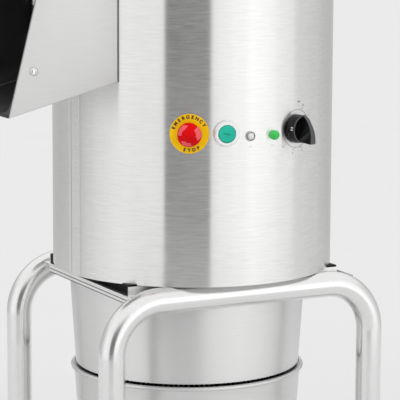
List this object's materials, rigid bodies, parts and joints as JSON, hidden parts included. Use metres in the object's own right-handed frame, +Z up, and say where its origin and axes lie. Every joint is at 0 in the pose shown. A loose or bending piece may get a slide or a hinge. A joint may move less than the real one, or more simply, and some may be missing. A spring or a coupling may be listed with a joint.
{
  "type": "electric potato peeler",
  "caption": "Upright stainless drum potato peeler on a bent-tube stand, with a discharge chute and door, hinged lid, control row, tapered hopper and slide-out peel container.",
  "frame": {"origin": "on the floor, in the middle of the machine's outline", "axes": "+Z up; the control row faces -Y; the discharge chute points to -X"},
  "size_m": [0.609, 0.506, 1.0866],
  "materials": {
    "brushed_steel": "brushed stainless sheet",
    "tube_steel": "polished stainless tube",
    "fastener_steel": "turned stainless",
    "cast_alloy": "cast and turned",
    "cast_iron": "cast, machined seats",
    "abrasive": "bonded grit",
    "black_rubber": "matt",
    "black_plastic": "fine moulded grain",
    "gloss_black": "gloss",
    "motor_paint": "semi-gloss",
    "yellow_plate": "satin",
    "red_cap": "satin gloss",
    "green_cap": "satin",
    "clear_plastic": "clear",
    "green_plastic": "clear tinted",
    "brass": "turned"
  },
  "bodies": {
    "machine": {"front_arch": "tube_steel", "rear_arch": "tube_steel", "feet": "black_rubber", "stretchers": "tube_steel", "shelf": "brushed_steel", "deck_tray": "brushed_steel", "base_pad": "black_rubber", "pad_strips": "fastener_steel", "casing": "brushed_steel", "base_plate": "brushed_steel", "top_rim": "brushed_steel", "chamber_floor": "cast_alloy", "abrasive_liner": "abrasive", "drain_pipe": "fastener_steel", "peel_hopper": "brushed_steel", "bearing_housing": "cast_iron", "bearings": "fastener_steel", "motor": "motor_paint", "motor_bracket": "cast_iron", "drive_belt": "black_rubber", "service_cover": "brushed_steel", "cover_screws": "fastener_steel", "water_inlet": "brass", "spray_nozzle": "fastener_steel", "cable_gland": "black_plastic", "stop_plate": "yellow_plate", "stop_body": "black_plastic", "start_bezel": "fastener_steel", "lamp_rings": "fastener_steel", "clear_lens": "clear_plastic", "green_lens": "green_plastic", "timer_body": "black_plastic", "chute_shell": "brushed_steel", "chute_gasket": "black_rubber", "chute_liner": "gloss_black", "liner_screws": "fastener_steel", "gate_frame": "brushed_steel", "gate_hinge_pin": "fastener_steel", "latch_keeper": "fastener_steel", "lid_bracket": "brushed_steel"},
    "rotor": {"peeling_disc": "abrasive", "drive_shaft": "fastener_steel", "driven_pulley": "cast_alloy", "disc_cap": "fastener_steel"},
    "motor_rotor": {"motor_pulley": "cast_alloy"},
    "lid": {"lid_shell": "brushed_steel", "lid_window": "clear_plastic", "window_bolts": "fastener_steel", "lid_gasket": "black_rubber", "lid_handle": "black_plastic"},
    "gate": {"gate_door": "black_plastic", "gate_seal": "black_rubber"},
    "latch": {"latch_lever": "black_plastic"},
    "stop_stem": {"stop_plunger": "black_plastic"},
    "stop_head": {"stop_mushroom": "red_cap"},
    "start_button": {"start_cap": "green_cap"},
    "timer": {"timer_knob": "gloss_black"},
    "container": {"peel_container": "brushed_steel", "filter_basket": "brushed_steel", "container_handle": "tube_steel"}
  },
  "joints": [
    {"name": "disc_spin", "type": "hinge", "parent": "machine", "child": "rotor", "pos_m": [0.0575, 0, 0.734], "axis": [0, 0, 1], "continuous": true},
    {"name": "motor_spin", "type": "hinge", "parent": "machine", "child": "motor_rotor", "pos_m": [0.14377, 0.08627, 0.47], "axis": [0, 0, 1], "continuous": true},
    {"name": "lid_hinge", "type": "hinge", "parent": "machine", "child": "lid", "pos_m": [0.0575, 0.237, 1.0481], "axis": [-1, 0, 0], "range_deg": [0, 95]},
    {"name": "gate_hinge", "type": "hinge", "parent": "machine", "child": "gate", "pos_m": [-0.16344, 0.104, 0.82304], "axis": [0, 0, -1], "range_deg": [0, 75]},
    {"name": "latch_turn", "type": "hinge", "parent": "gate", "child": "latch", "pos_m": [-0.18028, -0.078, 0.82304], "axis": [1, 0, 0], "range_deg": [0, 90]},
    {"name": "stop_press", "type": "slide", "parent": "machine", "child": "stop_stem", "axis": [0.4756, 0.8796, 0], "range_m": [0, 0.004]},
    {"name": "stop_twist", "type": "hinge", "parent": "stop_stem", "child": "stop_head", "pos_m": [-0.04714, -0.19352, 0.672], "axis": [0.4756, 0.8796, 0], "range_deg": [0, 45]},
    {"name": "start_press", "type": "slide", "parent": "machine", "child": "start_button", "axis": [0.2453, 0.9694, 0], "range_m": [0, 0.003], "stiffness_N_per_m": 400, "springref_m": -0.002},
    {"name": "timer_turn", "type": "hinge", "parent": "machine", "child": "timer", "pos_m": [0.12548, -0.20923, 0.672], "axis": [-0.309, 0.9511, 0], "range_deg": [0, 300]},
    {"name": "container_slide", "type": "slide", "parent": "machine", "child": "container", "axis": [0, -1, 0], "range_m": [0, 0.4]}
  ],
  "couplings": [
    {"joint": "motor_spin", "follows": "disc_spin", "ratio": 3.2}
  ]
}
